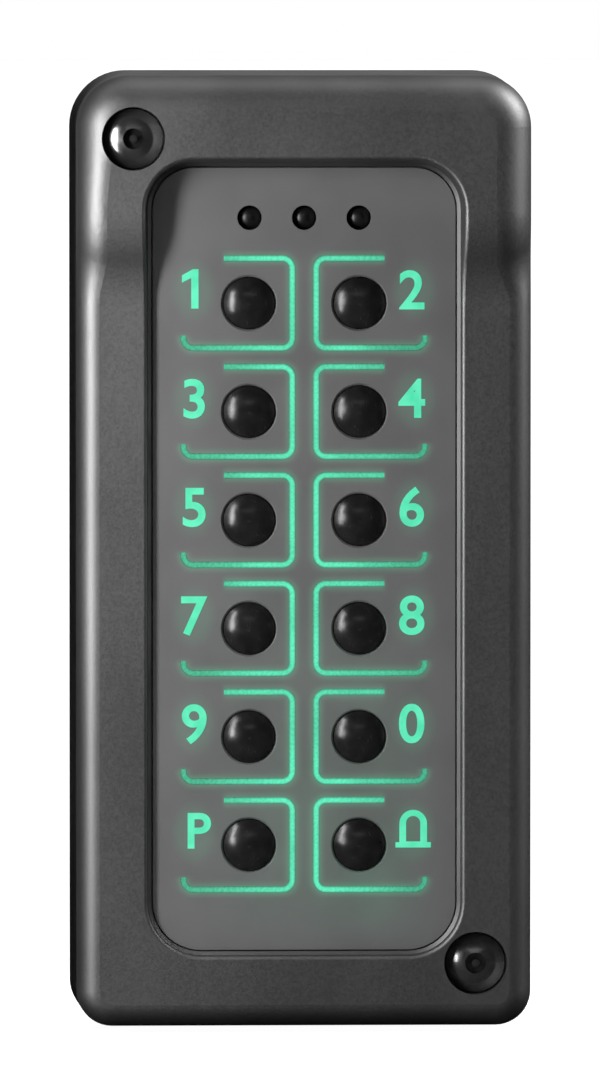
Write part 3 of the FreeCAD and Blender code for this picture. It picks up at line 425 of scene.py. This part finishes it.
NODE_FINISHES = {
    "front_housing": "powder_coat", "back_plate": "zinc_sheet", "press_nuts": "bright_steel",
    "cable_grommet": "black_rubber", "rim_seal": "black_rubber", "plate_gasket": "black_rubber",
    "cover_screw_1": "screw_chrome", "cover_screw_2": "screw_chrome",
    "legend_plate": "legend_coat", "light_guide": "lit_guide", "light_frame": "white_frame",
    "keypad_mat": "mat_silicone", "main_board": "solder_mask", "board_screws": "bright_steel",
    "backlight_lamps": "lamp_resin", "terminal_block": "terminal_nylon",
    "terminal_screws": "bright_steel", "relay": "relay_case", "power_coil": "ferrite",
    "microcontroller": "chip_epoxy", "buzzer": "chip_epoxy", "capacitor": "can_metal",
    "tamper_sensor": "sensor_ceramic",
}
NODE_FINISHES |= {f"status_lamp_{number}": "tinted_lens" for number in (1, 2, 3)}
NODE_FINISHES |= {f"key_{sign}": "key_chrome" for sign in SIGNS}
NODE_FINISHES |= {f"contact_pill_{sign}": "carbon_pill" for sign in SIGNS}

for node, finish in NODE_FINISHES.items():
    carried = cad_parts[node]
    for place in carried.material_slots:
        place.material = FINISHES[finish]

# ---------------------------------------------------------------- lit signs


def key_place(number):
    """Which side the key with this number is on, and its height."""
    row, side = divmod(number, 2)
    return 2 * side - 1, ROW_FIRST - ROW_PITCH * row


def stand_up(mesh, across, up, depth=PLATE_FRONT):
    """Stand a flat outline parallel to the wall, its middle foot at this place."""
    low = min(vertex.co.x for vertex in mesh.vertices)
    high = max(vertex.co.x for vertex in mesh.vertices)
    mesh.transform(
        Matrix.Translation((across * MM, -depth * MM, up * MM))
        @ Matrix.Rotation(math.pi / 2, 4, "X")
        @ Matrix.Translation((-(low + high) / 2, 0, 0)))


def add_piece(name, mesh, finish):
    """A piece from this mesh, with one of the finishes."""
    mesh.materials.clear()
    mesh.materials.append(FINISHES[finish])
    piece = bpy.data.objects.new(name, mesh)
    bpy.context.scene.collection.objects.link(piece)
    return piece


def flat_mesh(outline):
    """The mesh that a curve or a letter makes."""
    holder = bpy.data.objects.new("outline", outline)
    bpy.context.scene.collection.objects.link(holder)
    graph = bpy.context.evaluated_depsgraph_get()
    mesh = bpy.data.meshes.new_from_object(holder.evaluated_get(graph))
    bpy.data.objects.remove(holder)
    return mesh


def letter_outline(letter):
    """A letter or figure in the plain typeface, made a little bolder."""
    outline = bpy.data.curves.new("letter_" + letter, "FONT")
    outline.body = letter
    outline.size = SIGN_SIZES.get(letter, 1.0) * SIGN_HEIGHT * MM / CAPITAL_SHARE
    outline.offset = SIGN_BOLD * MM
    outline.extrude = SIGN_PROUD * MM
    outline.resolution_u = LETTER_STEPS
    return outline


def drawn_outline(name, rings, proud=SIGN_PROUD):
    """A flat form drawn as closed rings of corners, a ring within a ring being a hole."""
    outline = bpy.data.curves.new(name, "CURVE")
    outline.dimensions = "2D"
    outline.fill_mode = "BOTH"
    outline.extrude = proud * MM
    for corners in rings:
        ring = outline.splines.new("POLY")
        ring.points.add(len(corners) - 1)
        for spot, (across, up) in zip(ring.points, corners):
            spot.co = (across * MM, up * MM, 0, 1)
        ring.use_cyclic_u = True
    return outline


def bell_outline():
    """A bell: a dome on straight sides, open inside, over a bar along its foot."""
    turns = [math.pi * step / BELL_STEPS for step in range(BELL_STEPS + 1)]
    bell, room = (
        [(half * math.cos(turn), top - half + half * math.sin(turn)) for turn in turns]
        for half, top in ((BELL_HALF, BELL_TOP), (BELL_ROOM_HALF, BELL_ROOM_TOP)))
    bell += [(-BELL_HALF, BELL_BAR), (-BELL_BAR_HALF, BELL_BAR), (-BELL_BAR_HALF, 0),
             (BELL_BAR_HALF, 0), (BELL_BAR_HALF, BELL_BAR), (BELL_HALF, BELL_BAR)]
    room += [(-BELL_ROOM_HALF, BELL_ROOM_FOOT), (BELL_ROOM_HALF, BELL_ROOM_FOOT)]
    return drawn_outline("bell", [bell, room])


def one_outline():
    """The figure one: an upright bar with a slanted flag at its head."""
    return drawn_outline("figure_one", [
        [(0.25, 0), (1.2, 0), (1.2, 5.1), (0.45, 5.1), (-0.95, 4.3), (-0.95, 3.35), (0.25, 3.95)]])


DRAWN_SIGNS = {"1": one_outline, "bell": bell_outline}
for number, sign in enumerate(SIGNS):
    side, height = key_place(number)
    drawn = DRAWN_SIGNS[sign]() if sign in DRAWN_SIGNS else letter_outline(sign.upper())
    mesh = flat_mesh(drawn)
    right, up = SIGN_MOVES.get(sign, (0, 0))
    stand_up(mesh, side * (COLUMN + SIGN_OUTWARDS[side]) + right, height + SIGN_LOW + up)
    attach(add_piece("sign_" + sign, mesh, "sign_light"), "reader")

# ---------------------------------------------------------------- keypad mat


def arc(across, up, radius, start=0, end=360, steps=CIRCLE_STEPS):
    """Corners along an arc round this place, from one angle to another in degrees."""
    turns = (math.radians(start + (end - start) * step / steps) for step in range(steps))
    return [(across + radius * math.cos(turn), up + radius * math.sin(turn)) for turn in turns]


def mat_sheet_mesh():
    """The mat's flat sheet, with its openings for the domes, the lamps and their glow."""
    edge = []
    for quarter, (right, over) in enumerate(((1, 1), (-1, 1), (-1, -1), (1, -1))):
        edge += arc(right * (MAT_HALF - MAT_ROUND), over * (MAT_TOP - MAT_ROUND), MAT_ROUND,
                    90 * quarter, 90 * (quarter + 1), CORNER_STEPS)
    rings = [edge, *(arc(lamp * STATUS_PITCH, STATUS_HEIGHT, MAT_HOLE) for lamp in (-1, 0, 1))]
    for number in range(len(SIGNS)):
        side, height = key_place(number)
        rings.append(arc(side * COLUMN, height, DOME_FOOT + DOME_GAP))
        rings.append(arc(side * GLOW_ACROSS, height + GLOW_RISE, MAT_HOLE))
    mesh = flat_mesh(drawn_outline("mat_sheet", rings, (MAT_FRONT - BOARD_FRONT) / 2))
    stand_up(mesh, 0, 0, (MAT_FRONT + BOARD_FRONT) / 2)
    return mesh


def dome_mesh(across, up):
    """A hollow silicone dome, turned round a key's axis from its radius at each depth."""
    slope = (DOME_FOOT - DOME_HEAD) / (DOME_TOP - BOARD_FRONT)
    levels = [BOARD_FRONT + (DOME_ROOF - BOARD_FRONT) * step / DOME_LEVELS
              for step in range(DOME_LEVELS + 1)]
    outside = [(DOME_FOOT - slope * (level - BOARD_FRONT), level)
               for level in (*levels, DOME_TOP - DOME_EDGE)]
    inside = [(radius - DOME_WALL, level) for radius, level in outside[:len(levels)]]
    profile = [(DOME_HEAD - DOME_EDGE, DOME_TOP), *reversed(outside), *inside]
    corners = [(right * MM, -depth * MM, over * MM)
               for radius, depth in profile for right, over in arc(across, up, radius)]
    top, roof = len(corners), len(corners) + 1
    corners += [(across * MM, -depth * MM, up * MM) for depth in (DOME_TOP, DOME_ROOF)]
    last = len(profile) * CIRCLE_STEPS - CIRCLE_STEPS
    faces = []
    for step in range(CIRCLE_STEPS):
        after = (step + 1) % CIRCLE_STEPS
        faces.append((top, step, after))
        for ring in range(0, last, CIRCLE_STEPS):
            below = ring + CIRCLE_STEPS
            faces.append((ring + step, below + step, below + after, ring + after))
        faces.append((roof, last + after, last + step))
    mesh = bpy.data.meshes.new("dome")
    mesh.from_pydata(corners, [], faces)
    mesh.shade_smooth()
    mesh.set_sharp_from_angle(angle=math.radians(DOME_CREASE))
    return mesh


mat_sheet = add_piece("mat_sheet", mat_sheet_mesh(), "mat_silicone")
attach(mat_sheet, "reader")
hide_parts("keypad_mat")
for number, sign in enumerate(SIGNS):
    side, height = key_place(number)
    dome = add_piece("dome_" + sign, dome_mesh(side * COLUMN, height), "mat_silicone")
    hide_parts("keypad_mat")
    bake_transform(dome)

# ---------------------------------------------------------------- studio


def pale_stage(name):
    """A pale finish that the camera, metal and glass see as near white, with its shadows."""
    stage = Finish(name)
    speckle = stage.grain(3, detail=2)
    return stage.done(
        Base_Color=stage.mix(speckle, tone(225), tone(228)), Roughness=0.9,
        Emission_Color=stage.mix(stage.white_rays(), tone(0), tone(255)), Emission_Strength=0.97)


def add_sheet(name, corners, material):
    """A flat sheet of the studio between four corners."""
    mesh = bpy.data.meshes.new(name)
    mesh.from_pydata(corners, [], [(0, 1, 2, 3)])
    mesh.materials.append(material)
    sheet = bpy.data.objects.new(name, mesh)
    bpy.context.scene.collection.objects.link(sheet)
    return sheet


def level_corners(left, near, right, far, level):
    """Corners of a level sheet, going round it."""
    return [(left, near, level), (right, near, level), (right, far, level), (left, far, level)]


def add_floor():
    """Pale paper just under the reader, out to the horizon."""
    corners = level_corners(-FLOOR_HALF, -FLOOR_HALF, FLOOR_HALF, FLOOR_HALF,
                            cad_box[0].z - FLOOR_DROP)
    add_sheet("floor", corners, pale_stage("floor_paper"))


def add_dark_cards():
    """Dark cards round the reader that only its polished and painted edges reflect."""
    card = Finish("dark_card")
    felt = card.grain(2)
    paint = card.done(Base_Color=card.mix(felt, tone(22), tone(28)), Roughness=0.9)
    low = cad_box[0].z - CARD_DROP
    run = [(-0.054, CARD_BACK), (-CARD_SIDE, 0.2), (-CARD_SIDE, -1.2), (-0.4, -CARD_FAR),
           (0.4, -CARD_FAR), (CARD_SIDE, -1.2), (CARD_SIDE, 0.2), (0.06, CARD_BACK)]
    corners = {
        f"card_{number}": [(*start, low), (*end, low), (*end, CARD_TOP), (*start, CARD_TOP)]
        for number, (start, end) in enumerate(zip(run, run[1:]), start=1)}
    corners["card_low"] = level_corners(-CARD_SIDE, -CARD_FAR, CARD_SIDE, CARD_BACK, low)
    corners["card_top"] = level_corners(-CARD_SIDE, -1.6, CARD_SIDE, -0.2, CARD_TOP)
    for name, places in corners.items():
        sheet = add_sheet(name, places, paint)
        sheet.visible_camera = sheet.visible_diffuse = False
        sheet.visible_shadow = sheet.visible_transmission = False


def add_flag():
    """A black flag beside the reader that keeps the near strip off its left flank."""
    flag = Finish("flag_cloth")
    weave = flag.grain(1)
    cloth = flag.done(Base_Color=flag.mix(weave, tone(20), tone(26)), Roughness=0.9)
    side, front, back, low, top = -0.04, -0.0315, 0.02, cad_box[0].z, 0.075
    sheet = add_sheet("flag", [(side, front, low), (side, back, low), (side, back, top),
                               (side, front, top)], cloth)
    sheet.visible_camera = sheet.visible_diffuse = sheet.visible_glossy = False
    sheet.visible_transmission = False


def add_world():
    """Sky that lights the reader softly, and that the camera, metal and glass see as white."""
    world = bpy.data.worlds.new("studio")
    bpy.context.scene.world = world
    sky = Wiring(world)
    strength = sky.white_rays().most(SKY_LIGHT)
    light = sky.node("Background", values={"Color": (1, 1, 1, 1), "Strength": strength})
    sky.node("OutputWorld", values={"Surface": light})


def add_lamp(lamp, at):
    """Put the lamp at this place, facing the middle of the reader."""
    holder = bpy.data.objects.new(lamp.name, lamp)
    holder.location = at
    holder.rotation_mode = "QUATERNION"
    holder.rotation_quaternion = (Vector(LAMPS_FACE) - Vector(at)).to_track_quat("-Z", "Y")
    holder.visible_camera = False
    bpy.context.scene.collection.objects.link(holder)


def add_strip(name, at, width, height, power):
    """A strip of soft light of this size."""
    lamp = bpy.data.lights.new(name, "AREA")
    lamp.shape = "RECTANGLE"
    lamp.size, lamp.size_y, lamp.energy = width, height, power
    add_lamp(lamp, at)


def add_back_spot():
    """A narrow lamp straight behind the reader, which shows its back and spares the floor."""
    lamp = bpy.data.lights.new("back_spot", "SPOT")
    lamp.spot_size, lamp.spot_blend = math.radians(SPOT_SPREAD), SPOT_EDGE
    lamp.shadow_soft_size, lamp.energy = SPOT_SIZE, SPOT_POWER
    add_lamp(lamp, SPOT_PLACE)


def add_camera():
    """The camera of the photograph, a little to the left of the reader and above it."""
    yaw, climb = math.radians(CAMERA_YAW), math.radians(CAMERA_RISE)
    away = Vector((-math.sin(yaw) * math.cos(climb), -math.cos(yaw) * math.cos(climb),
                   math.sin(climb)))
    camera = bpy.data.cameras.new("camera")
    camera.sensor_width, camera.lens = CAMERA_SENSOR, CAMERA_LENS
    camera.clip_start, camera.clip_end = 0.01, 100.0
    viewer = bpy.data.objects.new("camera", camera)
    viewer.location = Vector(CAMERA_AIM) + away * CAMERA_AWAY
    viewer.rotation_mode = "QUATERNION"
    viewer.rotation_quaternion = (-away).to_track_quat("-Z", "Y")
    bpy.context.scene.collection.objects.link(viewer)
    bpy.context.scene.camera = viewer


add_floor()
add_world()
add_dark_cards()
add_flag()
for name, strip in STRIPS.items():
    add_strip(name, *strip)
add_back_spot()
add_camera()
bpy.context.scene.view_settings.view_transform = "Standard"
